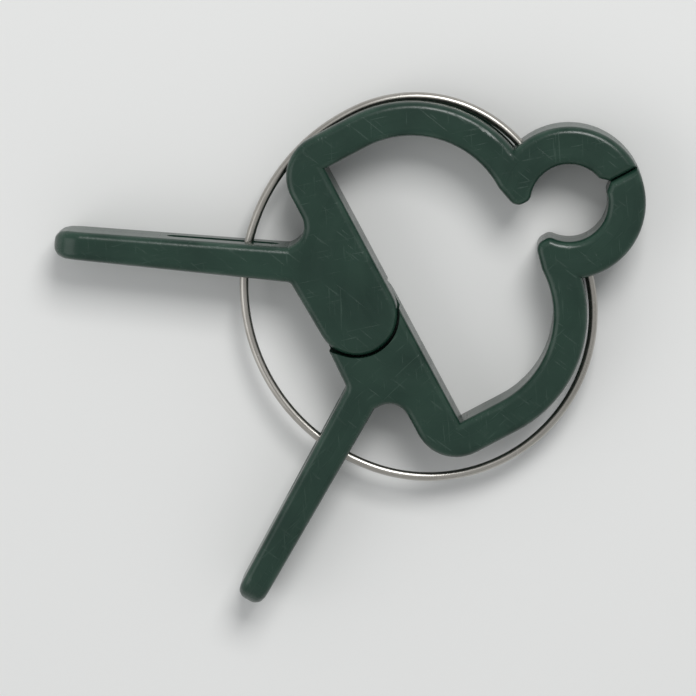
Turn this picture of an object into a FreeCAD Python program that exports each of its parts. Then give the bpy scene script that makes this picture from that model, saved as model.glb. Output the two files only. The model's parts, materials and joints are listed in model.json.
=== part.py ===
import FreeCAD, Part
import math
import os
import re

import Sketcher

# Orchid clip: two moulded jaws on a half-lap hinge, held shut by one ring of spring wire.
# The clip lies flat on the XY plane. +Y points from the hinge to the eye that holds the stem,
# +Z is up, square to the clip's face. Sketches measure from the middle of the cross bar's inner
# edge, and each body is then shifted along Y so that the origin is under the middle of the clip.
# All lengths are in millimetres and all angles in degrees.
SIZES = {
    # Both jaws
    "clip_height": 5.0,         # from face to face, along Z
    "edge_round": 0.5,          # rounding of the edges of both faces
    "cut_overrun": 1.0,         # how far a cut runs past what it cuts
    # Loop: two arms that stand on the cross bar
    "loop_width": 24.0,         # outside width of the loop
    "arm_wall": 2.3,            # thickness of an arm in the plane of the clip
    "shoulder_inset": 3.1,      # from the middle plane to the centre of a shoulder's arcs
    "shoulder_rise": 3.1,       # from the cross bar to the centre of a shoulder's arcs
    # Eye: two half rings whose tips meet, with a tooth under each
    "eye_lift": 1.4,            # from the top of the shoulders to the eye's centre
    "eye_hole": 5.2,            # diameter of the hole for the stem
    "eye_wall": 2.55,           # thickness of the eye's ring
    "eye_root_angle": 35.0,     # how far below level the half ring runs into its shoulder
    "tip_gap": 0.08,            # between the two tips of the eye
    "tip_bevel": 0.5,           # bevel at the inner corner of each tip
    "neck_width": 2.8,          # gap between the two teeth
    "tooth_rise": 0.4,          # how far a tooth's underside climbs to its tip
    "tooth_round": 0.7,         # rounding of a tooth's lower corner
    "tooth_tip_extra": 0.05,    # how much rounder its upper corner is than the edges of the faces
    # Cross bar and hub
    "bar_depth": 2.9,           # depth of the cross bar outside the hub
    "hub_depth": 5.5,           # depth of the hub at the hinge
    "hub_drop": 0.2,            # how much lower the hub's edge is at the levers
    "hub_overhang": 1.2,        # from a lever's root out to the hub's side
    "hub_corner_round": 1.4,    # inside corner between the cross bar and the hub's side
    "hub_side_share": 0.9,      # the most of the hub's side that this rounding may take
    "lever_corner_round": 0.5,  # inside corner between the hub's edge and a lever
    # Half-lap hinge
    "lap_gap": 0.1,             # between the two lapped discs, along Z
    "lap_clearance": 0.15,      # round a disc, to the wall of the other jaw
    "lap_relief_angle": 46.0,   # how far the wall is cut back for the jaws to open
    "peg_diameter": 2.0,        # peg on the lower disc
    "bore_floor": 0.8,          # what is left of the upper disc over the peg's blind bore
    "peg_clearance": 0.05,      # round the peg, and past its end
    # Levers
    "lever_angle": 33.0,        # between a lever and the middle plane
    "lever_root_inset": 5.0,    # from the middle plane to the lever's root
    "lever_root_lift": 0.5,     # from the hub's lower edge up to the lever's root
    "lever_bury": 1.6,          # how far the lever runs on into the hub
    "lever_length": 16.2,       # from its root to its end
    "lever_root_width": 2.4,
    "lever_tip_width": 1.9,
    "lever_end_width": 0.4,     # of the flat at its very end
    "lever_end_height": 1.4,    # of the same flat, along Z
    "lever_end_taper": 0.9,     # length over which it curves in to that flat
    "slot_inward": 2.7,         # from where the ring passes through the lever to its slot's inner end
    "slot_outward": 4.9,        # and to its slot's outer end
    "slot_clearance": 0.3,      # over and under the wire
    # Ring of spring wire, which lies at half height
    "wire_diameter": 0.6,
    "wire_hole_clearance": 0.05,    # round the wire in its blind hole
    "wire_hole_floor": 0.55,        # left between the bottom of a blind hole and the eye
    "wire_end_gap": 0.2,        # between the wire's end and the bottom of its hole
    "wire_angle": 14.0,         # how steeply the wire's ends rise to the middle
    "wire_mouth_angle": 12.9,   # how far below level a blind hole starts, round the eye
    "ring_shift": 1.0,          # of the large arc's centre from the middle plane
    "wire_proud": 0.15,         # how far the middle of the wire lies outside the left arm's side
    "ring_drop": 0.2,           # of the large arc's centre below the shoulders' centres
    "groove_depth": 0.7,        # of the groove round the arms that the wire lies in
    "groove_clearance": 0.7,    # over and under the wire
}

# Lengths that follow from the sizes above, as formulas that sketches and features share.
SHOULDER_OUTER = "(loop_width / 2 - shoulder_inset)"
SHOULDER_INNER = "(loop_width / 2 - shoulder_inset - arm_wall)"
LOOP_TOP = "(shoulder_rise + loop_width / 2 - shoulder_inset)"
EYE_INNER = "(eye_hole / 2)"
EYE_OUTER = "(eye_hole / 2 + eye_wall)"
DISC_RADIUS = "(hub_depth / 2)"
LAP_RADIUS = "(hub_depth / 2 + lap_clearance)"
LAP_LAYER = "((clip_height - lap_gap) / 2)"
BORE_DEPTH = f"({LAP_LAYER} - bore_floor)"
EYE_RISE = f"({LOOP_TOP} + eye_lift)"
HUB_SIDE = "(lever_root_inset + hub_overhang)"
ROOT_DEPTH = "(hub_depth - lever_root_lift)"
HUB_SIDE_LENGTH = (f"({ROOT_DEPTH} - bar_depth + hub_overhang / tan(lever_angle)"
                   " - lever_root_width / 2 / sin(lever_angle))")
LEVER_END_STEPS = (0, 30, 60, 90)       # angles of the corners on each side of a lever's end
LOWEST_STEP = 60                        # the one of them that reaches lowest


def end_along(angle):
    """How far along the lever a corner of its end is, on a quarter ellipse from side to flat."""
    return f"(lever_length - lever_end_taper * (1 - sin({angle})))"


def end_across(angle):
    """How far the same corner is from the lever's middle line."""
    return f"(lever_end_width / 2 + (lever_tip_width - lever_end_width) / 2 * cos({angle}))"


TIP_DEPTH = (f"({ROOT_DEPTH} + {end_along(LOWEST_STEP)} * cos(lever_angle)"
             f" + {end_across(LOWEST_STEP)} * sin(lever_angle))")
LEVER_END_ROUND = "((clip_height - lever_end_height) / 2)"
WIRE_RADIUS = "(wire_diameter / 2)"
MOUTH_INSET = f"({EYE_OUTER} * cos(wire_mouth_angle))"
MOUTH_RISE = f"({EYE_RISE} - {EYE_OUTER} * sin(wire_mouth_angle))"
MOUTH_REACH = f"hypot({MOUTH_INSET} - shoulder_inset; {MOUTH_RISE} - shoulder_rise)"
HOLE_DEPTH = "(eye_wall - wire_hole_floor)"
RING_RADIUS = "(loop_width / 2 + ring_shift + wire_proud)"
RING_RISE = "(shoulder_rise - ring_drop)"
ROOT_DROP = f"({ROOT_DEPTH} + {RING_RISE})"
RING_ASIDE = f"(lever_root_inset * cos(lever_angle) - {ROOT_DROP} * sin(lever_angle))"
RING_CROSSING = (f"(sqrt({RING_RADIUS} ^ 2 - {RING_ASIDE} ^ 2)"
                 f" - lever_root_inset * sin(lever_angle) - {ROOT_DROP} * cos(lever_angle))")
SLOT_START = f"({RING_CROSSING} - slot_inward)"
SLOT_END = f"({RING_CROSSING} + slot_outward)"
CENTRE_SHIFT = f"(({TIP_DEPTH} - {EYE_RISE} - {EYE_OUTER}) / 2)"

doc = FreeCAD.newDocument("orchid_clip")
sheet = doc.addObject("Spreadsheet::Sheet", "Sizes")
for row, (alias, value) in enumerate(SIZES.items(), start=1):
    sheet.set(f"A{row}", alias)
    sheet.set(f"B{row}", str(value))
    sheet.setAlias(f"B{row}", alias)
doc.recompute()


def bound(formula):
    """The formula with each size named as the cell of the sheet that holds it."""
    return re.sub(r"[a-z_]+", lambda word: "Sizes." + word[0] if word[0] in SIZES else word[0], formula)


def value_of(formula):
    """The formula's present value."""
    return float(sheet.evalExpression(bound(formula)))


def origin_plane(body, role):
    """One of the three planes through the body's own origin."""
    return next(feature for feature in body.Origin.OriginFeatures if feature.Role == role)


def new_sketch(body, name, height="0"):
    """A level sketch in the body, at the given height over its underside."""
    sketch = body.newObject("Sketcher::SketchObject", name)
    sketch.AttachmentSupport = [(origin_plane(body, "XY_Plane"), "")]
    sketch.MapMode = "FlatFace"
    sketch.setExpression("AttachmentOffset.Base.z", bound(height))
    return sketch


def new_upright_sketch(body, name, side, inset, rise, angle):
    """An upright sketch at half height, whose X axis is turned by the angle in the clip's plane.

    inset and rise give its origin, and the angle is measured from +X towards +Y on the right jaw
    and mirrored on the left one. Its Y axis is +Z.
    """
    sketch = body.newObject("Sketcher::SketchObject", name)
    sketch.AttachmentSupport = [(origin_plane(body, "XZ_Plane"), "")]
    sketch.MapMode = "FlatFace"
    sketch.AttachmentOffset = FreeCAD.Placement(
        FreeCAD.Vector(), FreeCAD.Rotation(FreeCAD.Vector(0, 1, 0), 1))
    sketch.setExpression("AttachmentOffset.Base.x", bound(f"{side} * ({inset})"))
    sketch.setExpression("AttachmentOffset.Base.y", bound("clip_height / 2"))
    sketch.setExpression("AttachmentOffset.Base.z", bound(f"-({rise})"))
    turn = angle if side > 0 else f"180 - ({angle})"
    sketch.setExpression("AttachmentOffset.Rotation.Angle", bound(turn))
    return sketch


def hold(sketch, kind, places, formula):
    """Add one dimension to the sketch and bind it to the formula."""
    index = sketch.addConstraint(Sketcher.Constraint(kind, *places, value_of(formula)))
    sketch.setExpression(f"Constraints[{index}]", bound(formula))


def arc_between(start, end, radius, turn):
    """The short arc from start to end, which turns left where turn is 1 and right where it is -1."""
    chord = end - start
    across = FreeCAD.Vector(-chord.y, chord.x, 0).normalize() * turn
    centre = (start + end) * 0.5 + across * math.sqrt(radius ** 2 - (chord.Length / 2) ** 2)
    middle = centre + ((start + end) * 0.5 - centre).normalize() * radius
    return Part.Arc(start, middle, end)


def draw_outline(sketch, side, corners):
    """Close an outline through its corners, mirrored for the left jaw, where side is -1.

    A corner is (x, y) where a straight run follows it, and (x, y, radius, turn) where an arc does.
    """
    points = [FreeCAD.Vector(side * value_of(corner[0]), value_of(corner[1]), 0) for corner in corners]
    ends = []
    for place, corner in enumerate(corners):
        start, end = points[place], points[(place + 1) % len(points)]
        if len(corner) == 2:
            geometry = sketch.addGeometry(Part.LineSegment(start, end))
            ends.append((geometry, 1, 2))
        else:
            turn = corner[3] * side
            geometry = sketch.addGeometry(arc_between(start, end, value_of(corner[2]), turn))
            ends.append((geometry, 1, 2) if turn > 0 else (geometry, 2, 1))
    for place, corner in enumerate(corners):
        geometry, first, last = ends[place]
        following, following_first, following_last = ends[(place + 1) % len(ends)]
        sketch.addConstraint(Sketcher.Constraint("Coincident", geometry, last, following, following_first))
        hold(sketch, "DistanceX", (-1, 1, geometry, first), f"{side} * ({corner[0]})")
        hold(sketch, "DistanceY", (-1, 1, geometry, first), corner[1])
        if len(corner) > 2:
            hold(sketch, "Radius", (geometry,), corner[2])


def draw_circle(sketch, x, y, radius):
    """A circle at x and y."""
    centre = FreeCAD.Vector(value_of(x), value_of(y), 0)
    circle = sketch.addGeometry(Part.Circle(centre, FreeCAD.Vector(0, 0, 1), value_of(radius)))
    hold(sketch, "DistanceX", (-1, 1, circle, 3), x)
    hold(sketch, "DistanceY", (-1, 1, circle, 3), y)
    hold(sketch, "Radius", (circle,), radius)


def pad(body, sketch, length, downwards=False):
    """Add the sketch's outline to the body, over the given length."""
    feature = body.newObject("PartDesign::Pad", sketch.Name + "_pad")
    feature.Profile = sketch
    feature.setExpression("Length", bound(length))
    feature.Reversed = downwards
    doc.recompute()


def pocket(body, sketch, length, upwards=False, both_ways=False):
    """Cut the sketch's outline out of the body, over the given length, and check that it cuts."""
    before = body.Shape.Volume
    feature = body.newObject("PartDesign::Pocket", sketch.Name + "_cut")
    feature.Profile = sketch
    if both_ways:
        feature.SideType = "Symmetric"
    feature.Reversed = upwards
    feature.setExpression("Length", bound(length))
    doc.recompute()
    if body.Shape.Volume >= before:
        raise RuntimeError(sketch.Name + " cuts nothing")


def round_edges(body, name, radius, numbers):
    """Round the edges of the body that have these numbers."""
    base = body.Tip
    feature = body.newObject("PartDesign::Fillet", name)
    feature.Base = (base, [f"Edge{number}" for number in numbers])
    feature.setExpression("Radius", bound(radius))
    doc.recompute()


def round_corner(body, side, name, x, y, radius):
    """Round the upright edge of the body that stands nearest to x and y."""
    place = FreeCAD.Vector(side * value_of(x), value_of(y), value_of("clip_height / 2"))
    reach = {}
    for number, edge in enumerate(body.Tip.Shape.Edges, start=1):
        run = edge.Vertexes[-1].Point - edge.Vertexes[0].Point
        if edge.Curve.TypeId == "Part::GeomLine" and math.hypot(run.x, run.y) < abs(run.z) / 2:
            reach[number] = edge.CenterOfMass.distanceToPoint(place)
    round_edges(body, name, radius, [min(reach, key=reach.get)])


def is_sharp(shape, edge):
    """Whether the two faces that meet at the edge turn there by more than a few degrees."""
    middle = edge.valueAt((edge.FirstParameter + edge.LastParameter) / 2)
    normals = [face.normalAt(*face.Surface.parameter(middle))
               for face in shape.ancestorsOfType(edge, Part.Face)]
    return len(normals) == 2 and normals[0].getAngle(normals[1]) > math.radians(5)


def round_faces(body, side):
    """Round the sharp edges of the body's upper and lower face, and of the lever's end."""
    height, fine = value_of("clip_height"), value_of("edge_round / 4")
    root = FreeCAD.Vector(side * value_of("lever_root_inset"), -value_of(ROOT_DEPTH), 0)
    along = FreeCAD.Vector(side * value_of("sin(lever_angle)"), -value_of("cos(lever_angle)"), 0)
    shape, numbers = body.Tip.Shape, []
    for number, edge in enumerate(shape.Edges, start=1):
        box = edge.BoundBox
        on_face = box.ZLength < fine and min(abs(box.ZMin), abs(box.ZMax - height)) < fine
        on_end = (edge.CenterOfMass - root).dot(along) > value_of(f"lever_length - {LEVER_END_ROUND}")
        if (on_face or on_end) and is_sharp(shape, edge):
            numbers.append(number)
    round_edges(body, "face_edges", "edge_round", numbers)


def shift_to_centre(body):
    """Shift the body so that the origin is under the middle of the clip."""
    body.setExpression("Placement.Base.y", bound(CENTRE_SHIFT))
    doc.recompute()


def add_loop(body, side):
    """The cross bar, the arm with its shoulder and tooth, and the half ring of the eye."""
    sketch = new_sketch(body, "bar")
    draw_outline(sketch, side, [
        ("0", "0"),
        ("0", "-bar_depth"),
        ("loop_width / 2 - bar_depth", "-bar_depth", "bar_depth", 1),
        ("loop_width / 2", "0"),
    ])
    pad(body, sketch, "clip_height")
    sketch = new_sketch(body, "arm")
    draw_outline(sketch, side, [
        ("loop_width / 2 - arm_wall", "-bar_depth / 2"),
        ("loop_width / 2 - arm_wall / 2", "-bar_depth / 2"),
        ("loop_width / 2", "0"),
        ("loop_width / 2", "shoulder_rise", SHOULDER_OUTER, 1),
        ("shoulder_inset", LOOP_TOP),
        ("neck_width / 2", LOOP_TOP),
        ("neck_width / 2", f"{LOOP_TOP} - arm_wall + tooth_rise"),
        ("shoulder_inset", f"{LOOP_TOP} - arm_wall", SHOULDER_INNER, -1),
        ("loop_width / 2 - arm_wall", "shoulder_rise"),
    ])
    pad(body, sketch, "clip_height")
    sketch = new_sketch(body, "eye")
    bevel_inset = "(tip_gap / 2 + tip_bevel)"
    draw_outline(sketch, side, [
        ("tip_gap / 2", f"{EYE_RISE} + sqrt({EYE_OUTER} ^ 2 - (tip_gap / 2) ^ 2)"),
        ("tip_gap / 2", f"{EYE_RISE} + {EYE_INNER} + tip_bevel"),
        (bevel_inset, f"{EYE_RISE} + sqrt({EYE_INNER} ^ 2 - {bevel_inset} ^ 2)", EYE_INNER, -1),
        (f"{EYE_INNER} * cos(eye_root_angle)", f"{EYE_RISE} - {EYE_INNER} * sin(eye_root_angle)"),
        (f"{EYE_OUTER} * cos(eye_root_angle)", f"{EYE_RISE} - {EYE_OUTER} * sin(eye_root_angle)",
         EYE_OUTER, 1),
    ])
    pad(body, sketch, "clip_height")
    sketch = new_sketch(body, "stem_hole")
    draw_circle(sketch, "0", EYE_RISE, EYE_INNER)
    pocket(body, sketch, "clip_height", upwards=True)
    round_corner(body, side, "tooth_corner", "neck_width / 2", f"{LOOP_TOP} - arm_wall + tooth_rise",
                 "tooth_round")
    round_corner(body, side, "tooth_tip", "neck_width / 2",
                 f"{EYE_RISE} - sqrt({EYE_INNER} ^ 2 - (neck_width / 2) ^ 2)", "edge_round + tooth_tip_extra")


def lever_corner(along, across):
    """x and y of a place on the right lever, along it from its root and across it to the outside."""
    return (f"lever_root_inset + ({along}) * sin(lever_angle) + ({across}) * cos(lever_angle)",
            f"-{ROOT_DEPTH} - ({along}) * cos(lever_angle) + ({across}) * sin(lever_angle)")


def new_lever_sketch(body, name, side):
    """An upright sketch at the lever's root, whose X axis runs down the lever."""
    return new_upright_sketch(body, name, side, "lever_root_inset", f"-{ROOT_DEPTH}", "lever_angle - 90")


def add_lever(body, side):
    """The hub's half of the cross bar and the lever, whose end is rounded seen from the side."""
    sketch = new_sketch(body, "hub")
    draw_outline(sketch, side, [
        ("0", "0"),
        ("0", "-hub_depth"),
        ("lever_root_inset", "-hub_depth - hub_drop"),
        (HUB_SIDE, f"-{ROOT_DEPTH}"),
        (HUB_SIDE, "0"),
    ])
    pad(body, sketch, "clip_height")
    sketch = new_sketch(body, "lever")
    draw_outline(sketch, side, [
        lever_corner("-lever_bury", "lever_root_width / 2"),
        lever_corner("-lever_bury", "-lever_root_width / 2"),
        *[lever_corner(end_along(angle), f"-{end_across(angle)}") for angle in LEVER_END_STEPS],
        *[lever_corner(end_along(angle), end_across(angle)) for angle in reversed(LEVER_END_STEPS)],
    ])
    pad(body, sketch, "clip_height")
    for name, upper in (("lower_end", -1), ("upper_end", 1)):
        sketch = new_lever_sketch(body, name, side)
        draw_outline(sketch, 1, [
            (f"lever_length - {LEVER_END_ROUND}", f"{upper} * clip_height / 2", LEVER_END_ROUND, -upper),
            ("lever_length", f"{upper} * lever_end_height / 2"),
            ("lever_length + cut_overrun", f"{upper} * lever_end_height / 2"),
            ("lever_length + cut_overrun", f"{upper} * (clip_height / 2 + cut_overrun)"),
            (f"lever_length - {LEVER_END_ROUND}", f"{upper} * (clip_height / 2 + cut_overrun)"),
        ])
        pocket(body, sketch, "lever_root_width + cut_overrun", both_ways=True)
    round_corner(body, side, "hub_corner", HUB_SIDE, "-bar_depth",
                 f"min(hub_corner_round; hub_side_share * {HUB_SIDE_LENGTH})")
    round_corner(body, side, "lever_corner", *lever_corner("0", "-lever_root_width / 2"),
                 "lever_corner_round")


def lap_face(side):
    """Height of the face on which the jaw's disc lies on the other one: the left disc is above."""
    return f"clip_height - {LAP_LAYER}" if side < 0 else LAP_LAYER


def add_disc(body, side):
    """The jaw's own disc of the half lap."""
    sketch = new_sketch(body, "disc", lap_face(side))
    draw_circle(sketch, "0", "-hub_depth / 2", DISC_RADIUS)
    pad(body, sketch, LAP_LAYER, downwards=side > 0)


def cut_recess(body, side):
    """The recess for the disc of the other jaw, whose rim stays sharp, and the peg or its bore.

    The recess is a round wall, with a straight cut that leaves room for the other hub. The left
    jaw's disc holds a blind bore, and the right jaw's holds the peg.
    """
    sketch = new_sketch(body, "recess", lap_face(side))
    reach = f"({DISC_RADIUS} + hub_drop + cut_overrun)"
    foot_x = (f"({LAP_RADIUS} * cos(90 - lap_relief_angle) - ({reach} - {LAP_RADIUS}"
              " * sin(90 - lap_relief_angle)) * tan(90 - lap_relief_angle))")
    draw_outline(sketch, side, [
        (f"-{LAP_RADIUS}", f"-hub_depth / 2 - {reach}"),
        (foot_x, f"-hub_depth / 2 - {reach}"),
        (f"{LAP_RADIUS} * cos(90 - lap_relief_angle)",
         f"-hub_depth / 2 - {LAP_RADIUS} * sin(90 - lap_relief_angle)", LAP_RADIUS, 1),
        ("0", f"-hub_depth / 2 + {LAP_RADIUS}"),
        (f"-{LAP_RADIUS}", f"-hub_depth / 2 + {LAP_RADIUS}"),
    ])
    pocket(body, sketch, "clip_height / 2 + lap_gap / 2 + cut_overrun", upwards=side > 0)
    if side < 0:
        sketch = new_sketch(body, "bore", lap_face(side))
        draw_circle(sketch, "0", "-hub_depth / 2", "peg_diameter / 2 + peg_clearance")
        pocket(body, sketch, BORE_DEPTH, upwards=True)
    else:
        sketch = new_sketch(body, "peg", lap_face(side))
        draw_circle(sketch, "0", "-hub_depth / 2", "peg_diameter / 2")
        pad(body, sketch, f"{BORE_DEPTH} + lap_gap - peg_clearance")


def cut_wire_seats(body, side):
    """The groove round the arm, the blind hole for the wire's end and the slot in the lever."""
    sketch = new_sketch(body, "groove", "clip_height / 2")
    floor_corner = "(bar_depth - groove_depth)"
    open_corner = "(bar_depth + cut_overrun)"
    corner_x = "(loop_width / 2 - bar_depth)"
    floor_arc = f"({SHOULDER_OUTER} - groove_depth)"
    open_arc = f"({SHOULDER_OUTER} + cut_overrun)"
    mouth_across = f"({MOUTH_INSET} - shoulder_inset) / {MOUTH_REACH}"
    mouth_along = f"({MOUTH_RISE} - shoulder_rise) / {MOUTH_REACH}"
    draw_outline(sketch, side, [
        (corner_x, f"-{floor_corner}"),
        (corner_x, f"-{open_corner}", open_corner, 1),
        ("loop_width / 2 + cut_overrun", "0"),
        ("loop_width / 2 + cut_overrun", "shoulder_rise", open_arc, 1),
        (f"shoulder_inset + {open_arc} * {mouth_across}", f"shoulder_rise + {open_arc} * {mouth_along}"),
        (f"shoulder_inset + {floor_arc} * {mouth_across}", f"shoulder_rise + {floor_arc} * {mouth_along}",
         floor_arc, -1),
        ("loop_width / 2 - groove_depth", "shoulder_rise"),
        ("loop_width / 2 - groove_depth", "0", floor_corner, -1),
    ])
    pocket(body, sketch, "wire_diameter + 2 * groove_clearance", both_ways=True)
    sketch = new_upright_sketch(
        body, "wire_hole", side, f"{MOUTH_INSET} + cut_overrun * cos(wire_angle)",
        f"{MOUTH_RISE} - cut_overrun * sin(wire_angle)", "90 - wire_angle")
    draw_circle(sketch, "0", "0", f"{WIRE_RADIUS} + wire_hole_clearance")
    pocket(body, sketch, f"{HOLE_DEPTH} + cut_overrun", upwards=side < 0)
    sketch = new_lever_sketch(body, "slot", side)
    half_height = f"({WIRE_RADIUS} + slot_clearance)"
    round_start, round_end = f"{SLOT_START} + {half_height}", f"{SLOT_END} - {half_height}"
    draw_outline(sketch, 1, [
        (round_start, f"-{half_height}"),
        (round_end, f"-{half_height}", half_height, 1),
        (SLOT_END, "0", half_height, 1),
        (round_end, half_height),
        (round_start, half_height, half_height, 1),
        (SLOT_START, "0", half_height, 1),
    ])
    pocket(body, sketch, "lever_root_width + cut_overrun", both_ways=True)


def make_jaw(name, side):
    """One jaw: side is -1 for the left one and 1 for the right one."""
    body = doc.addObject("PartDesign::Body", name)
    body.Label = name
    add_loop(body, side)
    add_lever(body, side)
    add_disc(body, side)
    round_faces(body, side)
    cut_recess(body, side)
    cut_wire_seats(body, side)
    return body


def shoulder_arc(side):
    """Centre of the ring's small arc, its radius and the point where it runs into the large arc.

    The small arc leaves the mouth of the blind hole in line with the hole, and lies inside the
    large arc, which it touches.
    """
    mouth = FreeCAD.Vector(side * value_of(MOUTH_INSET), value_of(MOUTH_RISE), 0)
    middle = FreeCAD.Vector(value_of("ring_shift"), value_of(RING_RISE), 0)
    inward = FreeCAD.Vector(-side * value_of("sin(wire_angle)"), -value_of("cos(wire_angle)"), 0)
    large, span = value_of(RING_RADIUS), mouth - middle
    radius = (large ** 2 - span.Length ** 2) / (2 * (large + inward.dot(span)))
    centre = mouth + inward * radius
    return centre, radius, middle + (centre - middle).normalize() * large


def make_ring():
    """The ring: one wire with its ends in the blind holes of both jaws, swept along tangent arcs."""
    body = doc.addObject("PartDesign::Body", "ring_spring")
    body.Label = "ring_spring"
    path = new_sketch(body, "wire_path", "clip_height / 2")
    seated = f"({HOLE_DEPTH} - wire_end_gap)"
    end_x = f"({MOUTH_INSET} - {seated} * cos(wire_angle))"
    end_y = f"({MOUTH_RISE} + {seated} * sin(wire_angle))"
    runs, shoulders = {}, {}
    for side in (-1, 1):
        mouth = FreeCAD.Vector(side * value_of(MOUTH_INSET), value_of(MOUTH_RISE), 0)
        end = FreeCAD.Vector(side * value_of(end_x), value_of(end_y), 0)
        runs[side] = path.addGeometry(Part.LineSegment(mouth, end))
        hold(path, "DistanceX", (-1, 1, runs[side], 1), f"{side} * {MOUTH_INSET}")
        hold(path, "DistanceY", (-1, 1, runs[side], 1), MOUTH_RISE)
        hold(path, "DistanceX", (-1, 1, runs[side], 2), f"{side} * {end_x}")
        hold(path, "DistanceY", (-1, 1, runs[side], 2), end_y)
        centre, radius, touch = shoulder_arc(side)
        outermost = centre + FreeCAD.Vector(side * radius, 0, 0)
        start, finish = (mouth, touch) if side < 0 else (touch, mouth)
        shoulders[side] = path.addGeometry(Part.Arc(start, outermost, finish))
    middle = FreeCAD.Vector(value_of("ring_shift"), value_of(f"{RING_RISE} - {RING_RADIUS}"), 0)
    large = path.addGeometry(Part.Arc(shoulder_arc(-1)[2], middle, shoulder_arc(1)[2]))
    hold(path, "DistanceX", (-1, 1, large, 3), "ring_shift")
    hold(path, "DistanceY", (-1, 1, large, 3), RING_RISE)
    hold(path, "Radius", (large,), RING_RADIUS)
    for joint in ((runs[-1], 1, shoulders[-1], 1), (shoulders[-1], 2, large, 1),
                  (large, 2, shoulders[1], 1), (shoulders[1], 2, runs[1], 1)):
        path.addConstraint(Sketcher.Constraint("Tangent", *joint))
    section = new_upright_sketch(body, "wire_section", -1, end_x, end_y, "90 - wire_angle")
    draw_circle(section, "0", "0", WIRE_RADIUS)
    doc.recompute()
    wire = body.newObject("PartDesign::AdditivePipe", "wire")
    wire.Profile = section
    wire.Spine = (path, [f"Edge{number}" for number in range(1, len(path.Shape.Edges) + 1)])
    doc.recompute()
    return body, path


def least_gap_to_itself(path):
    """Least space between places on the wire that are a quarter of its length or more apart."""
    wire = Part.Wire(Part.sortEdges(path.Shape.Edges)[0])
    points = wire.discretize(Number=200)
    apart = len(points) // 4
    centres = min(points[first].distanceToPoint(points[last])
                  for first in range(len(points)) for last in range(first + apart, len(points)))
    return centres - value_of("wire_diameter")


jaw_left = make_jaw("jaw_left", -1)
jaw_right = make_jaw("jaw_right", 1)
ring_spring, ring_path = make_ring()
sub_parts = (jaw_left, jaw_right, ring_spring)
for body in sub_parts:
    shift_to_centre(body)

broken = [thing.Name for thing in doc.Objects if {"Invalid", "Error"} & set(thing.State)]
if broken:
    raise RuntimeError("not built: " + ", ".join(broken))
for body in sub_parts:
    if body.Shape.isNull() or not body.Shape.isValid() or len(body.Shape.Solids) != 1:
        raise RuntimeError(body.Label + " is not one valid solid")
    print(body.Label, "volume", round(body.Shape.Volume, 2), "box", body.Shape.BoundBox)

wire_length = ring_path.Shape.Length
wire_volume = wire_length * math.pi * value_of(WIRE_RADIUS) ** 2
print("wire length", round(wire_length, 2), "volume against section times length",
      round(ring_spring.Shape.Volume / wire_volume, 5))
print("least gap of the ring to itself", round(least_gap_to_itself(ring_path), 2))

os.makedirs("parts", exist_ok=True)
for body in sub_parts:
    body.Shape.exportStep(f"parts/{body.Label}.step")
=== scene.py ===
# %% [markdown]
# # Dressing an orchid clip
# The real object is a spring clip 37 mm long. Two jaws of dark green plastic turn on a half-lap
# hinge, and one ring of bright spring wire holds them shut. The jaws are exact CAD solids, so this
# lesson keeps their meshes and gives them a finish. The ring bends when the clip opens, and a rigid
# CAD piece can't do that, so it is made again here as a surface that can be bent.
#
# The order is: the ring, the effects that its wire and the plastic share, the two finishes, and
# then the floor, the camera and the light.

# %% Load the frame
import json
import math

import bpy
import numpy as np
from mathutils import Matrix, Vector


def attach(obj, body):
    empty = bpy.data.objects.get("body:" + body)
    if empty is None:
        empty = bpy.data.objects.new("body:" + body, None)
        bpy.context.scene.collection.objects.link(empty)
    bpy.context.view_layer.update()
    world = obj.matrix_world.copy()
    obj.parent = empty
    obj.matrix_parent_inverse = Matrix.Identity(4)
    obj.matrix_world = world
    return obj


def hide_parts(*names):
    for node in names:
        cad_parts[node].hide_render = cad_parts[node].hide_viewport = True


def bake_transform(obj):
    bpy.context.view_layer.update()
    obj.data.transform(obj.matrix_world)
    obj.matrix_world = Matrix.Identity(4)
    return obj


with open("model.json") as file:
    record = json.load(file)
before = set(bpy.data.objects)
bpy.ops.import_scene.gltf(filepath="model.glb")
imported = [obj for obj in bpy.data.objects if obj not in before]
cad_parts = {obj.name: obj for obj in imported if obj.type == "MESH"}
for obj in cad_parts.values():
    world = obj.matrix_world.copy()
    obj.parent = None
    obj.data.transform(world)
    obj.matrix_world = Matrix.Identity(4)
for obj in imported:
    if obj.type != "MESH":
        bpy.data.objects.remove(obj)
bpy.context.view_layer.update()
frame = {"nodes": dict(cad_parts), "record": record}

# %% [markdown]
# ## Places that the ring has to meet
# Blender works in metres here. The ring has to end in the blind holes beside the eye and pass
# through the slots in the levers, so its path starts from the same few sizes as the CAD model. It
# could be read off the CAD ring's triangles instead, but then its bends would show their facets.
# The frame gives the one place that everything is measured from, the centre of the eye.

# %% Sizes of the ring
MM = 0.001
EYE_ABOVE_BAR = 13.4 * MM
EYE_RADIUS = 5.15 * MM
MOUTH_ANGLE = math.radians(12.9)
HOLE_ANGLE = math.radians(14.0)
SEATED_LENGTH = 1.8 * MM
SHOULDER_ABOVE_BAR = 3.1 * MM
RING_BELOW_SHOULDER = 0.2 * MM
RING_SHIFT = 1.0 * MM
RING_RADIUS = 13.15 * MM
WIRE_RADIUS = 0.3 * MM

mounts = {mount["name"]: mount for mount in frame["record"]["mounts"]}
EYE = np.array(mounts["stem_eye"]["pos_m"])
BAR_Y = EYE[1] - EYE_ABOVE_BAR
RING_CENTRE = np.array([RING_SHIFT, BAR_Y + SHOULDER_ABOVE_BAR - RING_BELOW_SHOULDER])
print("eye at", EYE, "and centre of the ring at", RING_CENTRE)

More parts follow.
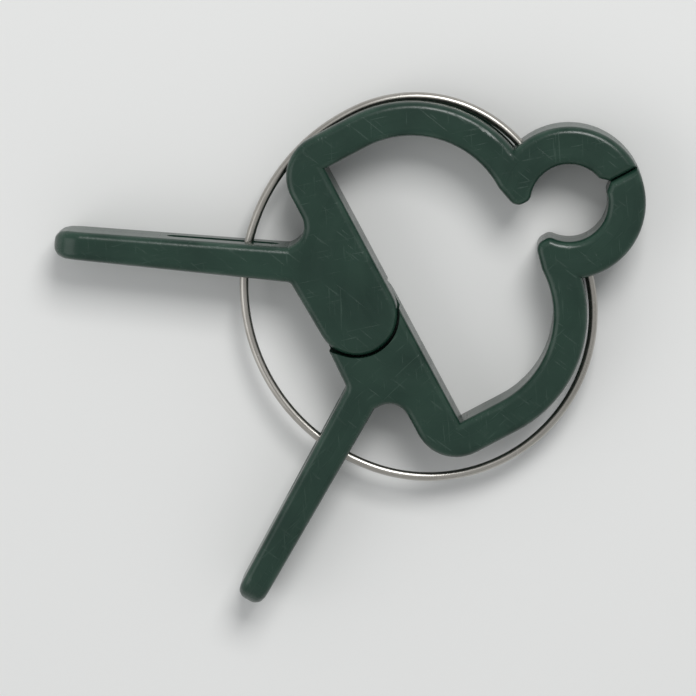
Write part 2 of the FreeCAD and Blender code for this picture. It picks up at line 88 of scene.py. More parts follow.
# %% [markdown]
# ## The path of the wire
# A spring former bends the wire round rollers, so the path is made of arcs that run into each other
# without a corner: a straight end in each blind hole, a small arc over each shoulder, and one large
# arc below. A spline through a few points would come close, but its bend would swell and shrink,
# which shows at once on bright wire.

# %% Arcs
STEP = 0.15 * MM


def arc(centre, radius, start, end):
    """Points centre + radius * (cos t, sin t), with t from start to end in equal steps."""
    t = np.linspace(start, end, math.ceil(abs(end - start) * radius / STEP) + 1)
    return centre + radius * np.stack([np.cos(t), np.sin(t)], axis=1)


def bearing(point, centre):
    """The angle at which the centre sees the point, measured from +X, up to half a turn each way."""
    return math.atan2(point[1] - centre[1], point[0] - centre[0])


# %% [markdown]
# ## Over the shoulders
# Each small arc starts in line with its blind hole and ends where it touches the large arc from
# inside. Its radius could be found by trial, but circles that touch so have centres as far apart as
# their radii differ, and that gives it at once.

# %% Small arc over one shoulder
def shoulder(side):
    """Mouth of the blind hole, unit vector into the hole, and centre and radius of the small arc.

    side is -1 on the left and 1 on the right. With m the mouth, c and R the large arc's centre and
    radius, and n the unit vector from m to the small arc's centre, its radius r solves
    |m + r n - c| = R - r.
    """
    mouth = EYE[:2] + EYE_RADIUS * np.array([side * math.cos(MOUTH_ANGLE), -math.sin(MOUTH_ANGLE)])
    into_hole = np.array([-side * math.cos(HOLE_ANGLE), math.sin(HOLE_ANGLE)])
    inward = np.array([-side * math.sin(HOLE_ANGLE), -math.cos(HOLE_ANGLE)])
    span = mouth - RING_CENTRE
    radius = (RING_RADIUS ** 2 - span @ span) / (2 * (RING_RADIUS + inward @ span))
    return mouth, into_hole, mouth + radius * inward, radius


for side, word in ((-1, "left"), (1, "right")):
    print("the arc over the", word, "shoulder has a radius of", round(shoulder(side)[3] / MM, 2), "mm")


# %% Whole path
def wire_path():
    """The wire's middle line from its left end over the left shoulder, below, and to its right end."""
    left_mouth, left_hole, left_centre, left_radius = shoulder(-1)
    right_mouth, right_hole, right_centre, right_radius = shoulder(1)
    seated = np.linspace(SEATED_LENGTH, 0, math.ceil(SEATED_LENGTH / STEP) + 1)[:, None]
    left_touch = bearing(left_centre, RING_CENTRE) % math.tau
    right_touch = bearing(right_centre, RING_CENTRE) + math.tau
    runs = [
        left_mouth + seated * left_hole,
        arc(left_centre, left_radius, bearing(left_mouth, left_centre), left_touch),
        arc(RING_CENTRE, RING_RADIUS, left_touch, right_touch),
        arc(right_centre, right_radius, right_touch, bearing(right_mouth, right_centre) + math.tau),
        right_mouth + seated[::-1] * right_hole,
    ]
    return np.concatenate([runs[0]] + [run[1:] for run in runs[1:]])


path = wire_path()
along = np.concatenate([[0], np.cumsum(np.linalg.norm(np.diff(path, axis=0), axis=1))])
print("the wire is", round(along[-1] / MM, 2), "mm long, in", len(path), "points")

# %% [markdown]
# ## A surface carried along the path
# A curve object with a round bevel would make this wire too. A grid worked out with numpy is chosen
# because the bend across the hinge needs plain vertices, and because its two parameters, the way
# along the wire and the way round it, become the UV map that the drawn finish follows.

# %% Directions along the wire
AROUND = 24
tangent = np.gradient(path, along, axis=0)
tangent /= np.linalg.norm(tangent, axis=1)[:, None]
sideways = np.stack([-tangent[:, 1], tangent[:, 0]], axis=1)
print("each point of the path gets a ring of", AROUND, "vertices")


# %% Wire as a grid
def tube_points(first, last):
    """Rings of vertices round the path, from its point first up to but without its point last.

    Vertex (i, j) is path_i + r * (cos a_j * s_i + sin a_j * z), where a_j runs once round the wire,
    s_i is square to the path in its own plane and z points up.
    """
    middle = np.column_stack([path[first:last], np.full(last - first, EYE[2])])
    aside = np.column_stack([sideways[first:last], np.zeros(last - first)])
    angle = np.linspace(0, math.tau, AROUND, endpoint=False)[None, :, None]
    upward = np.array([0, 0, 1])
    return middle[:, None] + WIRE_RADIUS * (np.cos(angle) * aside[:, None] + np.sin(angle) * upward)


def tube_faces(rings):
    """Quads between each ring of vertices and the next, and the row and column of each quad."""
    row, column = np.meshgrid(np.arange(rings - 1), np.arange(AROUND), indexing="ij")
    following = (column + 1) % AROUND
    quads = np.stack([row * AROUND + column, (row + 1) * AROUND + column,
                      (row + 1) * AROUND + following, row * AROUND + following], axis=2)
    return quads, row, column


# %% [markdown]
# ## Ways along and round, and crisp ends
# Blender can unwrap a tube, but the grid knows its two ways already, so they are written straight
# into the UV map. Smooth shading makes 24 strips look round, and it would round the flat ends as
# well. An Edge Split modifier could part them. Marking both rims sharp does it in the mesh itself.

# %% UV map and shading
def write_ways(mesh, way, row, column):
    """The UV map along_and_round: u is the way along the wire and v the way round, in millimetres.

    The quads are the first faces of the mesh. The flat ends come after them and keep zero.
    """
    side_width = math.tau * WIRE_RADIUS / AROUND
    way_along = np.stack([way[row], way[row + 1], way[row + 1], way[row]], axis=2)
    way_round = np.stack([column, column, column + 1, column + 1], axis=2) * side_width
    uv = np.zeros((len(mesh.loops), 2))
    uv[:way_along.size] = np.stack([way_along, way_round], axis=3).reshape(-1, 2) / MM
    mesh.uv_layers.new(name="along_and_round").data.foreach_set("uv", uv.ravel())


def shade_sides(mesh, rings, caps):
    """Smooth sides and flat caps, which are the last faces, with a sharp rim round each cap."""
    smooth = np.ones(len(mesh.polygons), dtype=bool)
    smooth[-caps:] = False
    mesh.polygons.foreach_set("use_smooth", smooth)
    edges = np.zeros(len(mesh.edges) * 2, dtype=int)
    mesh.edges.foreach_get("vertices", edges)
    ring_of = edges.reshape(-1, 2) // AROUND
    on_rim = (ring_of[:, 0] == ring_of[:, 1]) & np.isin(ring_of[:, 0], (0, rings - 1))
    mesh.edges.foreach_set("use_edge_sharp", on_rim)


# %% One stretch of wire
def wire_stretch(name, first, last):
    """The closed tube between two points of the path, as an object at the origin."""
    rings = last - first
    quads, row, column = tube_faces(rings)
    cap = np.arange(AROUND)
    caps = [cap.tolist(), ((rings - 1) * AROUND + cap[::-1]).tolist()]
    mesh = bpy.data.meshes.new(name)
    mesh.from_pydata(tube_points(first, last).reshape(-1, 3), [], quads.reshape(-1, 4).tolist() + caps)
    write_ways(mesh, along[first:last], row, column)
    shade_sides(mesh, rings, len(caps))
    piece = bpy.data.objects.new(name, mesh)
    bpy.context.scene.collection.objects.link(piece)
    return piece


# %% [markdown]
# ## A ring that bends
# Each end of the wire turns with its own jaw, and the stretch between them bends. A shape key could
# show that at one opening angle. A blend would hold at all of them, but it goes by place along a
# line, and the two ends of a ring lie side by side. So the ring is cut where it runs along Y, at its
# leftmost and its rightmost point. The two upper stretches ride on the jaws. The lower one stays
# where it lies, and it starts and ends with no turn against its neighbours.

# %% Cut the ring in three
leftmost, rightmost = int(path[:, 0].argmin()), int(path[:, 0].argmax())
ring_left = wire_stretch("ring_over_left_shoulder", 0, leftmost + 1)
ring_below = wire_stretch("ring_below_hinge", leftmost, rightmost + 1)
ring_right = wire_stretch("ring_over_right_shoulder", rightmost, len(path))
ring_pieces = (ring_left, ring_below, ring_right)
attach(ring_left, "jaw_left")
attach(ring_right, "jaw_right")
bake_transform(ring_below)
for piece in ring_pieces:
    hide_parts("ring_spring")
    print(piece.name, "has", len(piece.data.polygons), "faces")

# %% [markdown]
# ## Building materials from nodes
# A material here is a small program: coordinates go in, and colour, roughness and bump come out.
# It could be drawn by hand in the shader editor. Written down, it can be read from top to bottom.
# Three helpers keep it short. They add a node with its inputs, do a sum, and start a node group,
# which holds an effect that can be used more than once.

# %% Helpers for nodes
def add_node(tree, kind, inputs=(), **settings):
    """Add a node, set its properties, and give its inputs values or links from other sockets."""
    node = tree.nodes.new(kind)
    for name, value in settings.items():
        setattr(node, name, value)
    for key, value in dict(inputs).items():
        if isinstance(value, bpy.types.NodeSocket):
            tree.links.new(value, node.inputs[key])
        else:
            node.inputs[key].default_value = value
    return node


def calculate(tree, operation, first, second=0.0):
    """The result of one sum, whose one or two terms are numbers or sockets."""
    return add_node(tree, "ShaderNodeMath", {0: first, 1: second}, operation=operation).outputs[0]


def new_group(name, inputs, outputs):
    """A node group with named inputs and outputs, and its two end nodes."""
    group = bpy.data.node_groups.new(name, "ShaderNodeTree")
    for label, (kind, value) in inputs.items():
        socket = group.interface.new_socket(label, in_out="INPUT", socket_type=kind)
        if value is not None:
            socket.default_value = value
    for label in outputs:
        group.interface.new_socket(label, in_out="OUTPUT", socket_type="NodeSocketFloat")
    return group, group.nodes.new("NodeGroupInput").outputs, group.nodes.new("NodeGroupOutput").inputs


# %% [markdown]
# ## Grain of a worked surface
# A steel mould is spark-eroded and leaves a skin of tiny soft pits on the plastic. A wire die
# leaves finer ones. Geometry this fine would take millions of faces, so it goes into the bump. Both
# skins are the same noise at another size, so it is one group: a cloudy noise gives the soft
# hills, and cells give the pits between them.

# %% Group for grain
PIT_SHARE = 0.5

grain, given, result = new_group(
    "surface_grain",
    {"Vector": ("NodeSocketVector", None), "Grains per metre": ("NodeSocketFloat", 6000.0)},
    ["Height"])
hills = add_node(grain, "ShaderNodeTexNoise", {
    "Vector": given["Vector"], "Scale": given["Grains per metre"], "Detail": 3.0, "Roughness": 0.6})
pits = add_node(grain, "ShaderNodeTexVoronoi", {
    "Vector": given["Vector"], "Scale": given["Grains per metre"]}, feature="SMOOTH_F1")
grain.links.new(calculate(grain, "ADD", hills.outputs["Fac"],
                          calculate(grain, "MULTIPLY", pits.outputs["Distance"], PIT_SHARE)),
                result["Height"])
print("group", grain.name)

# %% [markdown]
# ## Scuffs from handling
# Handling leaves short hair scratches on a clip, in all directions. They could be painted on an
# image, but a noise needs no image and never repeats. Drawn out along one axis it makes streaks,
# and only its crests are kept. Three such sets, turned against each other, cross as real scratches
# do. A Mapping node of type Texture turns the place first and then divides it, so the streaks turn
# with it. The helper carries a value from one range into another, and here it keeps the crests.

# %% Group for scuffs
STREAK_SIZE = (22.0, 1.0, 1.7)
STREAK_TURNS = (0.4, 1.3, 2.7)
CREST_START, CREST_TOP = 0.72, 0.74


def between(tree, value, low, high, low_to=0.0, high_to=1.0):
    """The value, carried from the range low to high into the range low_to to high_to, and kept there."""
    return add_node(tree, "ShaderNodeMapRange", {
        "Value": value, "From Min": low, "From Max": high, "To Min": low_to, "To Max": high_to,
    }).outputs["Result"]


scuffs, given, result = new_group(
    "hair_scuffs",
    {"Vector": ("NodeSocketVector", None), "Per metre": ("NodeSocketFloat", 900.0),
     "Share kept": ("NodeSocketFloat", 0.1)},
    ["Mask"])
lowest_kept = calculate(scuffs, "SUBTRACT", CREST_START, given["Share kept"])
scuffed = 0.0
for turn in STREAK_TURNS:
    turned = add_node(scuffs, "ShaderNodeMapping", {
        "Vector": given["Vector"], "Rotation": (0.0, 0.0, turn), "Scale": STREAK_SIZE},
        vector_type="TEXTURE")
    streaks = add_node(scuffs, "ShaderNodeTexNoise", {
        "Vector": turned.outputs["Vector"], "Scale": given["Per metre"], "Detail": 2.0})
    crest = between(scuffs, streaks.outputs["Fac"], lowest_kept, CREST_TOP)
    scuffed = calculate(scuffs, "MAXIMUM", crest, scuffed)
scuffs.links.new(scuffed, result["Mask"])
print("group", scuffs.name, "with", len(STREAK_TURNS), "sets of streaks")

# %% [markdown]
# ## Rounded edges catch the wear and a painted highlight
# Handling polishes the rounded rims first, and their paler colour is partly that wear and partly a
# painted highlight, as if every rim caught the light. The jaws lie flat, so a rim is where the
# surface leans between level and upright. Blender's Pointiness finds rims too, but it changes with
# the size of the triangles. With n the upward part of the normal, 4 n^2 (1 - n^2) is 1 halfway round
# a rim and 0 on faces and walls, whatever the mesh, and it needs no extra rays.

# %% Group for worn rims
RIM_PATCHES = (0.35, 0.7)

# this mask pales the rims: partly wear, partly a painted highlight
rims, given, result = new_group(
    "worn_rims", {"Vector": ("NodeSocketVector", None), "Patches per metre": ("NodeSocketFloat", 500.0)},
    ["Mask"])
lean = add_node(rims, "ShaderNodeSeparateXYZ", {
    "Vector": add_node(rims, "ShaderNodeNewGeometry").outputs["Normal"]}).outputs["Z"]
square = calculate(rims, "MULTIPLY", lean, lean)
halfway = calculate(rims, "MULTIPLY", calculate(rims, "MULTIPLY", square, 4.0),
                    calculate(rims, "SUBTRACT", 1.0, square))
patches = add_node(rims, "ShaderNodeTexNoise", {
    "Vector": given["Vector"], "Scale": given["Patches per metre"], "Detail": 3.0})
rims.links.new(calculate(rims, "MULTIPLY", halfway,
                         between(rims, patches.outputs["Fac"], *RIM_PATCHES)), result["Mask"])
print("group", rims.name)

# %% [markdown]
# ## The way the melt ran
# Hot plastic runs along a moulding like water in a bent channel, and leaves faint streaks and waves
# that follow it. On this jaw it ran round the eye, round the loop and down the lever. One noise
# drawn out straight would cut across all bends, so each of the three gets a noise in coordinates of
# its own, long along the flow and short across it. Round a centre these are the distance and the
# angle, and on the lever the places along and across it.

# %% Streaks along one way of flow
ACROSS_SCALE = 1000.0
ALONG_SCALE = 90.0

flow, flow_given, flow_result = new_group(
    "flow_marks", {"Vector": ("NodeSocketVector", None)}, ["Height"])


def streaks_in(across, along_flow):
    """Noise that is short across the flow and long along it; both places are in metres."""
    vector = add_node(flow, "ShaderNodeCombineXYZ", {
        "X": calculate(flow, "MULTIPLY", across, ACROSS_SCALE),
        "Y": calculate(flow, "MULTIPLY", along_flow, ALONG_SCALE)}).outputs[0]
    return add_node(flow, "ShaderNodeTexNoise", {
        "Vector": vector, "Scale": 1.0, "Detail": 2.0, "Roughness": 0.55}).outputs["Fac"]


def round_a_centre(centre_y, radius):
    """Distance from a centre on the middle plane, and streaks that run round it."""
    parts = add_node(flow, "ShaderNodeSeparateXYZ", {"Vector": flow_given["Vector"]}).outputs
    rise = calculate(flow, "SUBTRACT", parts["Y"], centre_y)
    reach = calculate(flow, "SQRT", calculate(
        flow, "ADD", calculate(flow, "MULTIPLY", parts["X"], parts["X"]),
        calculate(flow, "MULTIPLY", rise, rise)))
    turn = calculate(flow, "ARCTAN2", rise, parts["X"])
    return reach, streaks_in(reach, calculate(flow, "MULTIPLY", turn, radius))


# %% [markdown]
# ## Three ways of flow in one group
# The three sets of streaks have to meet without a line between them. A mask painted on the jaw
# could part them, but two plain distances do it: they fade into each other by the distance from the
# eye and by the place along Y.

# %% Group for flow marks
LEVER_ANGLE = math.radians(33.0)
EYE_REACH = (5.0 * MM, 6.5 * MM)
LEVER_START = (-3.5 * MM, -6.0 * MM)

eye_distance, eye_streaks = round_a_centre(EYE[1], EYE_RADIUS)
loop_streaks = round_a_centre(BAR_Y + SHOULDER_ABOVE_BAR, RING_RADIUS)[1]
on_lever = add_node(flow, "ShaderNodeSeparateXYZ", {
    "Vector": add_node(flow, "ShaderNodeVectorRotate", {
        "Vector": flow_given["Vector"], "Angle": LEVER_ANGLE}, rotation_type="Z_AXIS").outputs[0]}).outputs
lever_streaks = streaks_in(on_lever["X"], on_lever["Y"])
place_y = add_node(flow, "ShaderNodeSeparateXYZ", {"Vector": flow_given["Vector"]}).outputs["Y"]
mixed = add_node(flow, "ShaderNodeMix", {
    "Factor": between(flow, eye_distance, *EYE_REACH), "A": eye_streaks, "B": loop_streaks})
mixed = add_node(flow, "ShaderNodeMix", {
    "Factor": between(flow, place_y, *LEVER_START), "A": mixed.outputs[0], "B": lever_streaks})
flow.links.new(mixed.outputs[0], flow_result["Height"])
print("group", flow.name)

# %% [markdown]
# ## Traces in the green plastic
# One flat colour would look like a drawing of the plastic, so each trace of its making and its use
# is a layer. Slow clouds are pigment that never mixes evenly, and flow marks, the mould's skin,
# scuffs and the rims, pale with wear and a painted highlight, come from the groups. Where the halves
# of the mould met, at half height, a hair of plastic stands out of every wall. The right jaw is the
# same moulding turned over, so its pattern is turned over too, and no pattern crosses the hinge.

# %% Traces
CLOUDS_PER_METRE = 260.0
SKIN_PER_METRE = 5200.0
SCUFFS_PER_METRE = 9000.0
SCUFFED_PLASTIC = 0.05
PARTING_HALF = 0.05 * MM


def plastic_traces(tree, side):
    """The strength of each trace over the surface; side is -1 on the jaw that is turned over."""
    place = add_node(tree, "ShaderNodeMapping", {
        "Vector": add_node(tree, "ShaderNodeTexCoord").outputs["Object"],
        "Scale": (side, 1.0, side)}).outputs["Vector"]
    height = add_node(tree, "ShaderNodeSeparateXYZ", {"Vector": place}).outputs["Z"]
    from_parting = calculate(tree, "ABSOLUTE", calculate(tree, "SUBTRACT", height, side * EYE[2]))
    return {
        "clouds": add_node(tree, "ShaderNodeTexNoise", {
            "Vector": place, "Scale": CLOUDS_PER_METRE, "Detail": 4.0}).outputs["Fac"],
        "flow": add_node(tree, "ShaderNodeGroup", {"Vector": place}, node_tree=flow).outputs["Height"],
        "skin": add_node(tree, "ShaderNodeGroup", {
            "Vector": place, "Grains per metre": SKIN_PER_METRE}, node_tree=grain).outputs["Height"],
        "scuffs": add_node(tree, "ShaderNodeGroup", {
            "Vector": place, "Per metre": SCUFFS_PER_METRE, "Share kept": SCUFFED_PLASTIC,
        }, node_tree=scuffs).outputs["Mask"],
        "rims": add_node(tree, "ShaderNodeGroup", {"Vector": place}, node_tree=rims).outputs["Mask"],
        "parting": between(tree, from_parting, 0.0, PARTING_HALF, 1.0, 0.0),
    }


# %% [markdown]
# ## Colour of the plastic
# The plastic is a dark bottle green. A colour ramp could hold all its shades, but mixing them one
# after another keeps each trace apart. Clouds go from a deep green to a softer one, flow marks add
# a little of the softer one, scuffs are paler with wear, and rims are paler with wear and a painted
# highlight.

# %% Green with its traces
MIX_COLOUR_A, MIX_COLOUR_B, MIX_COLOUR_RESULT = 6, 7, 2     # a Mix node's sockets for colours
MIDDLE = (0.3, 0.7)                 # the range that holds most values of a noise
DEEP_GREEN = (0.004, 0.023, 0.015)
SOFT_GREEN = (0.011, 0.038, 0.025)
# pale green of rubbed plastic in scuffs; on the rims it is also a painted highlight
WORN_AND_HIGHLIT_GREEN = (0.045, 0.090, 0.066)
FLOW_TINTED = (0.35, 0.7)
FLOW_TINT, RIM_TINT, SCUFF_TINT = 0.3, 0.55, 0.25


def mix_colours(tree, share, first, second):
    """first where the share is 0 and second where it is 1."""
    node = add_node(tree, "ShaderNodeMix", {"Factor": share}, data_type="RGBA")
    for socket, value in ((node.inputs[MIX_COLOUR_A], first), (node.inputs[MIX_COLOUR_B], second)):
        if isinstance(value, bpy.types.NodeSocket):
            tree.links.new(value, socket)
        else:
            socket.default_value = (*value, 1.0)
    return node.outputs[MIX_COLOUR_RESULT]


def plastic_colour(tree, traces):
    """Deep green, softer in the clouds and the high flow marks, paler in scuffs, and paler on rims as wear
    and a painted highlight.
    """
    green = mix_colours(tree, between(tree, traces["clouds"], *MIDDLE), DEEP_GREEN, SOFT_GREEN)
    streaked = calculate(tree, "MULTIPLY", between(tree, traces["flow"], *FLOW_TINTED), FLOW_TINT)
    green = mix_colours(tree, streaked, green, SOFT_GREEN)
    # rims turn paler as wear and as a painted highlight, scuffs as wear only
    for trace, tint in (("rims", RIM_TINT), ("scuffs", SCUFF_TINT)):
        green = mix_colours(tree, calculate(tree, "MULTIPLY", traces[trace], tint), green, WORN_AND_HIGHLIT_GREEN)
    return green


# %% [markdown]
# ## Gloss and relief of the plastic
# The same traces set the gloss and the relief, so that a scuff is pale, rough and sunk in one and
# the same place. Real displacement would need a very fine mesh, so one Bump node takes the sum of
# all heights, each in millimetres.

# %% Satin skin
PLASTIC_ROUGHNESS = (0.24, 0.32)    # at the low and the high flow marks
SMOOTHER_RIM, ROUGHER_SCUFF = 0.07, 0.15
RELIEF = {"clouds": 0.05, "flow": 0.012, "skin": 0.005, "scuffs": -0.004, "parting": 0.02}


def plastic_roughness(tree, traces):
    """Satin that follows the flow marks, smoother on worn rims and rougher in scuffs."""
    rough = between(tree, traces["flow"], *MIDDLE, *PLASTIC_ROUGHNESS)
    rough = calculate(tree, "SUBTRACT", rough, calculate(tree, "MULTIPLY", traces["rims"], SMOOTHER_RIM))
    return calculate(tree, "ADD", rough, calculate(tree, "MULTIPLY", traces["scuffs"], ROUGHER_SCUFF))


def plastic_normal(tree, traces):
    """The normal of a relief whose height is the sum of each trace times its depth in RELIEF."""
    height = 0.0
    for trace, depth in RELIEF.items():
        height = calculate(tree, "ADD", calculate(tree, "MULTIPLY", traces[trace], depth), height)
    return add_node(tree, "ShaderNodeBump", {"Height": height, "Distance": MM}).outputs["Normal"]


# %% [markdown]
# ## The plastic on both jaws
# One material could serve both jaws, but then the right jaw's pattern would run on from the left
# one's, as if both were cut from one block. So the material is a function, and each jaw gets its
# own. The index of refraction and the specular level are the same all over, and stay plain values.

# %% Plastic of each jaw
SPECULAR_LEVEL = 0.45
PLASTIC_IOR = 1.49


def moulded_plastic(name, side):
    """Green plastic in Object coordinates, mirrored in X and Z where side is -1."""
    material = bpy.data.materials.new(name)
    material.use_nodes = True
    tree = material.node_tree
    shader_inputs = tree.nodes["Principled BSDF"].inputs
    traces = plastic_traces(tree, side)
    tree.links.new(plastic_colour(tree, traces), shader_inputs["Base Color"])
    tree.links.new(plastic_roughness(tree, traces), shader_inputs["Roughness"])
    tree.links.new(plastic_normal(tree, traces), shader_inputs["Normal"])
    shader_inputs["IOR"].default_value = PLASTIC_IOR
    shader_inputs["Specular IOR Level"].default_value = SPECULAR_LEVEL
    return material


for node_name, side in (("jaw_left", 1.0), ("jaw_right", -1.0)):
    jaw = frame["nodes"][node_name]
    jaw.data.materials.clear()
    jaw.data.materials.append(moulded_plastic("green_plastic_" + node_name, side))
    print(node_name, "wears", jaw.data.materials[0].name)

# %% [markdown]
# ## Drawn spring wire
# Drawing pulls the wire through a die, which leaves fine bright lines along it. The UV map holds
# the way along and the way round in millimetres, so a noise that is long in the first and short in
# the second is exactly such lines, and it goes round the bends with the wire. An anisotropic
# shader would stretch the highlight alike, but it would show no single line up close.

# %% Wire finish
STEEL = (0.47, 0.455, 0.425)
DARK_STEEL = (0.24, 0.225, 0.20)
LINES_PER_MM = (0.25, 14.0, 1.0)
DULL_PATCHES_PER_METRE = 420.0
DULL_PATCHES, DULL_LINES = (0.4, 0.75), (0.3, 0.8)
DIE_SKIN_PER_METRE = 14000.0
SCUFFED_WIRE = 0.08
WIRE_ROUGHNESS = (0.22, 0.36)
ROUGHER_WIRE_SCUFF = 0.1
SKIN_TO_LINES = 0.12
WIRE_RELIEF = 0.004 * MM
WIRE_BUMP = 0.25


def drawn_wire():
    """Bright steel with lines along the wire, a few dull patches and hair scuffs."""
    material = bpy.data.materials.new("drawn_spring_wire")
    material.use_nodes = True
    tree = material.node_tree
    shader_inputs = tree.nodes["Principled BSDF"].inputs
    way = add_node(tree, "ShaderNodeUVMap", uv_map="along_and_round").outputs["UV"]
    place = add_node(tree, "ShaderNodeTexCoord").outputs["Object"]
    lines = add_node(tree, "ShaderNodeTexNoise", {
        "Vector": add_node(tree, "ShaderNodeMapping", {
            "Vector": way, "Scale": LINES_PER_MM}).outputs["Vector"],
        "Scale": 1.0, "Detail": 4.0, "Roughness": 0.65}).outputs["Fac"]
    patches = add_node(tree, "ShaderNodeTexNoise", {
        "Vector": place, "Scale": DULL_PATCHES_PER_METRE, "Detail": 3.0}).outputs["Fac"]
    skin = add_node(tree, "ShaderNodeGroup", {
        "Vector": place, "Grains per metre": DIE_SKIN_PER_METRE}, node_tree=grain).outputs["Height"]
    scuff = add_node(tree, "ShaderNodeGroup", {
        "Vector": place, "Per metre": SCUFFS_PER_METRE, "Share kept": SCUFFED_WIRE,
    }, node_tree=scuffs).outputs["Mask"]

    dull = calculate(tree, "MULTIPLY", between(tree, patches, *DULL_PATCHES),
                     between(tree, lines, *DULL_LINES))
    tree.links.new(mix_colours(tree, dull, STEEL, DARK_STEEL), shader_inputs["Base Color"])
    rough = between(tree, lines, *MIDDLE, *WIRE_ROUGHNESS)
    rough = calculate(tree, "ADD", rough, calculate(tree, "MULTIPLY", scuff, ROUGHER_WIRE_SCUFF))
    tree.links.new(rough, shader_inputs["Roughness"])
    height = calculate(tree, "ADD", lines, calculate(tree, "MULTIPLY", skin, SKIN_TO_LINES))
    bump = add_node(tree, "ShaderNodeBump", {
        "Height": height, "Strength": WIRE_BUMP, "Distance": WIRE_RELIEF})
    tree.links.new(bump.outputs["Normal"], shader_inputs["Normal"])
    shader_inputs["Metallic"].default_value = 1.0
    return material


wire_finish = drawn_wire()
for piece in ring_pieces:
    piece.data.materials.append(wire_finish)
print("the ring wears", wire_finish.name)

# %% [markdown]
# ## Floor
# The clip lies on a plain pale table. A shadow catcher would leave the wire nothing to mirror, so
# the table is a real surface. It stays pale but under white, so that the clip's own shadow and the
# bright side of the wire still stand out against it.

# %% Pale floor
FLOOR_HALF = 1.5
FLOOR_COLOUR = (0.80, 0.80, 0.785)
FLOOR_ROUGHNESS = 0.85
FLOOR_GAP = 0.01 * MM

floor_mesh = bpy.data.meshes.new("floor")
floor_mesh.from_pydata([(x * FLOOR_HALF, y * FLOOR_HALF, -FLOOR_GAP)
                        for x, y in ((-1, -1), (1, -1), (1, 1), (-1, 1))], [], [(0, 1, 2, 3)])
floor = bpy.data.objects.new("floor", floor_mesh)
bpy.context.scene.collection.objects.link(floor)
paint = bpy.data.materials.new("pale_table")
paint.use_nodes = True
paint_inputs = paint.node_tree.nodes["Principled BSDF"].inputs
paint_inputs["Base Color"].default_value = (*FLOOR_COLOUR, 1.0)
paint_inputs["Roughness"].default_value = FLOOR_ROUGHNESS
floor_mesh.materials.append(paint)
print("floor", 2 * FLOOR_HALF, "m wide")

# %% [markdown]
# ## Where the camera aims
# The photograph is taken from straight above, and the clip lies a little below and to the left of
# its middle. Places in it are kept in pixels, and one scale turns them into metres on the clip's
# own axes. The camera could be placed by eye, but here two known pixels place it.

# %% Place of the clip in the picture
PIXELS_PER_METRE = 3180
PHOTO_PX = 696
CLIP_PX = np.array([317.5, 451.2])
FRAME_CENTRE_PX = np.array([308.0, 463.0])
FRAME_WIDTH_PX = 150.0
CLIP_RIGHT_IN_PICTURE = np.array([0.467, 0.884])

# the picture's right and up directions, in the part's own x and y
picture_right = np.array([CLIP_RIGHT_IN_PICTURE[0], CLIP_RIGHT_IN_PICTURE[1], 0.0])
picture_up = np.array([-CLIP_RIGHT_IN_PICTURE[1], CLIP_RIGHT_IN_PICTURE[0], 0.0])
offset = (FRAME_CENTRE_PX - CLIP_PX) / PIXELS_PER_METRE
target = offset[0] * picture_right - offset[1] * picture_up + np.array([0, 0, EYE[2]])
print("the camera aims at", target)

# %% [markdown]
# ## Camera
# Because the clip lies off the middle of the photograph, the camera sees it from a few degrees
# above and to the right. A Track To constraint could aim the camera, but it picks the roll by
# itself, so the three axes are worked out as vectors. A long lens at the distance of a camera held
# over a table keeps the same slight perspective.

# %% Camera
LOOK_TILT = math.radians(7.0)
CAMERA_DISTANCE = 0.35
SENSOR = 36.0
NEAREST_SEEN, FARTHEST_SEEN = 0.01, 10.0

towards_middle = np.array([PHOTO_PX / 2, PHOTO_PX / 2]) - CLIP_PX
towards_middle /= np.linalg.norm(towards_middle)
lean_way = towards_middle[0] * picture_right - towards_middle[1] * picture_up
back = math.sin(LOOK_TILT) * lean_way + math.cos(LOOK_TILT) * np.array([0, 0, 1.0])
right = picture_right - (picture_right @ back) * back
right /= np.linalg.norm(right)
up = np.cross(back, right)

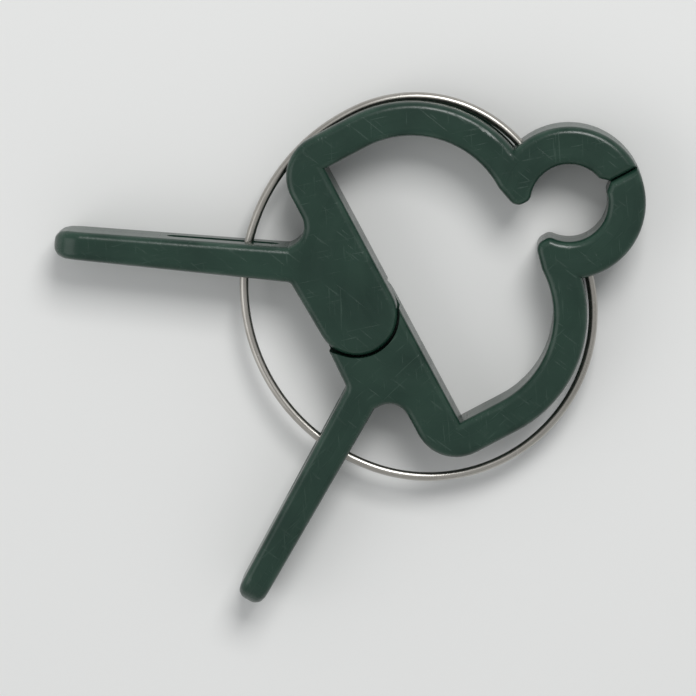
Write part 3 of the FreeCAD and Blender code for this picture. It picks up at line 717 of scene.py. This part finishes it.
camera = bpy.data.objects.new("camera", bpy.data.cameras.new("camera"))
bpy.context.scene.collection.objects.link(camera)
camera.matrix_world = Matrix.Translation(Vector(target + CAMERA_DISTANCE * back)) @ Matrix(
    np.column_stack([right, up, back])).to_4x4()
camera.data.sensor_width = SENSOR
camera.data.lens = SENSOR * CAMERA_DISTANCE / (FRAME_WIDTH_PX / PIXELS_PER_METRE)
camera.data.clip_start, camera.data.clip_end = NEAREST_SEEN, FARTHEST_SEEN
bpy.context.scene.camera = camera
print("lens", round(camera.data.lens, 1), "mm, camera at", target + CAMERA_DISTANCE * back)

# %% [markdown]
# ## Lamps
# In the photograph the light comes from the picture's upper side, and the rims that face it shine.
# A soft lamp stands there, and a weaker and wider one to the left. A picture of a studio could
# light the clip too, but two lamps are easier to follow. With the surroundings they are as bright
# as plain daylight on a table, where a colour looks as it is written.

# %% Lamps
LAMPS = {
    # name: (way in the picture, height share, distance, size, watts)
    "key": ((0.36, 1.0), 1.5, 0.42, 0.17, 0.95),
    "fill": ((-1.0, -0.2), 0.9, 0.45, 0.35, 0.35),
}
for name, (way, height_share, distance, size, watts) in LAMPS.items():
    lamp = bpy.data.objects.new(name, bpy.data.lights.new(name, "AREA"))
    bpy.context.scene.collection.objects.link(lamp)
    lamp.data.size = size
    lamp.data.energy = watts
    aim = Vector(way[0] * picture_right + way[1] * picture_up) + Vector((0, 0, height_share))
    lamp.location = aim.normalized() * distance
    lamp.rotation_euler = aim.to_track_quat("Z", "Y").to_euler()
    print(name, "lamp at", [round(value, 3) for value in lamp.location])

# %% [markdown]
# ## Surroundings
# The rest of the light comes from all sides, as in a pale room, and the wire mirrors that room. One
# colour of the world could do both, but Light Path tells which kind of ray asks. So the room that
# is seen, directly or mirrored, has a colour of its own, apart from the light that it gives.

# %% Pale room
SURROUNDINGS = (0.42, 0.43, 0.44)
BACKGROUND = (0.48, 0.48, 0.47)

world = bpy.data.worlds.new("pale_room")
world.use_nodes = True
bpy.context.scene.world = world
room = world.node_tree
rays = add_node(room, "ShaderNodeLightPath").outputs
seen = calculate(room, "MAXIMUM", calculate(room, "MAXIMUM", rays["Is Camera Ray"], rays["Is Glossy Ray"]),
                 rays["Is Transmission Ray"])
room.links.new(mix_colours(room, seen, SURROUNDINGS, BACKGROUND),
               room.nodes["Background"].inputs["Color"])
bpy.context.scene.view_settings.view_transform = "Standard"
print("the room", world.name, "is seen as", BACKGROUND, "and lights the clip as", SURROUNDINGS)
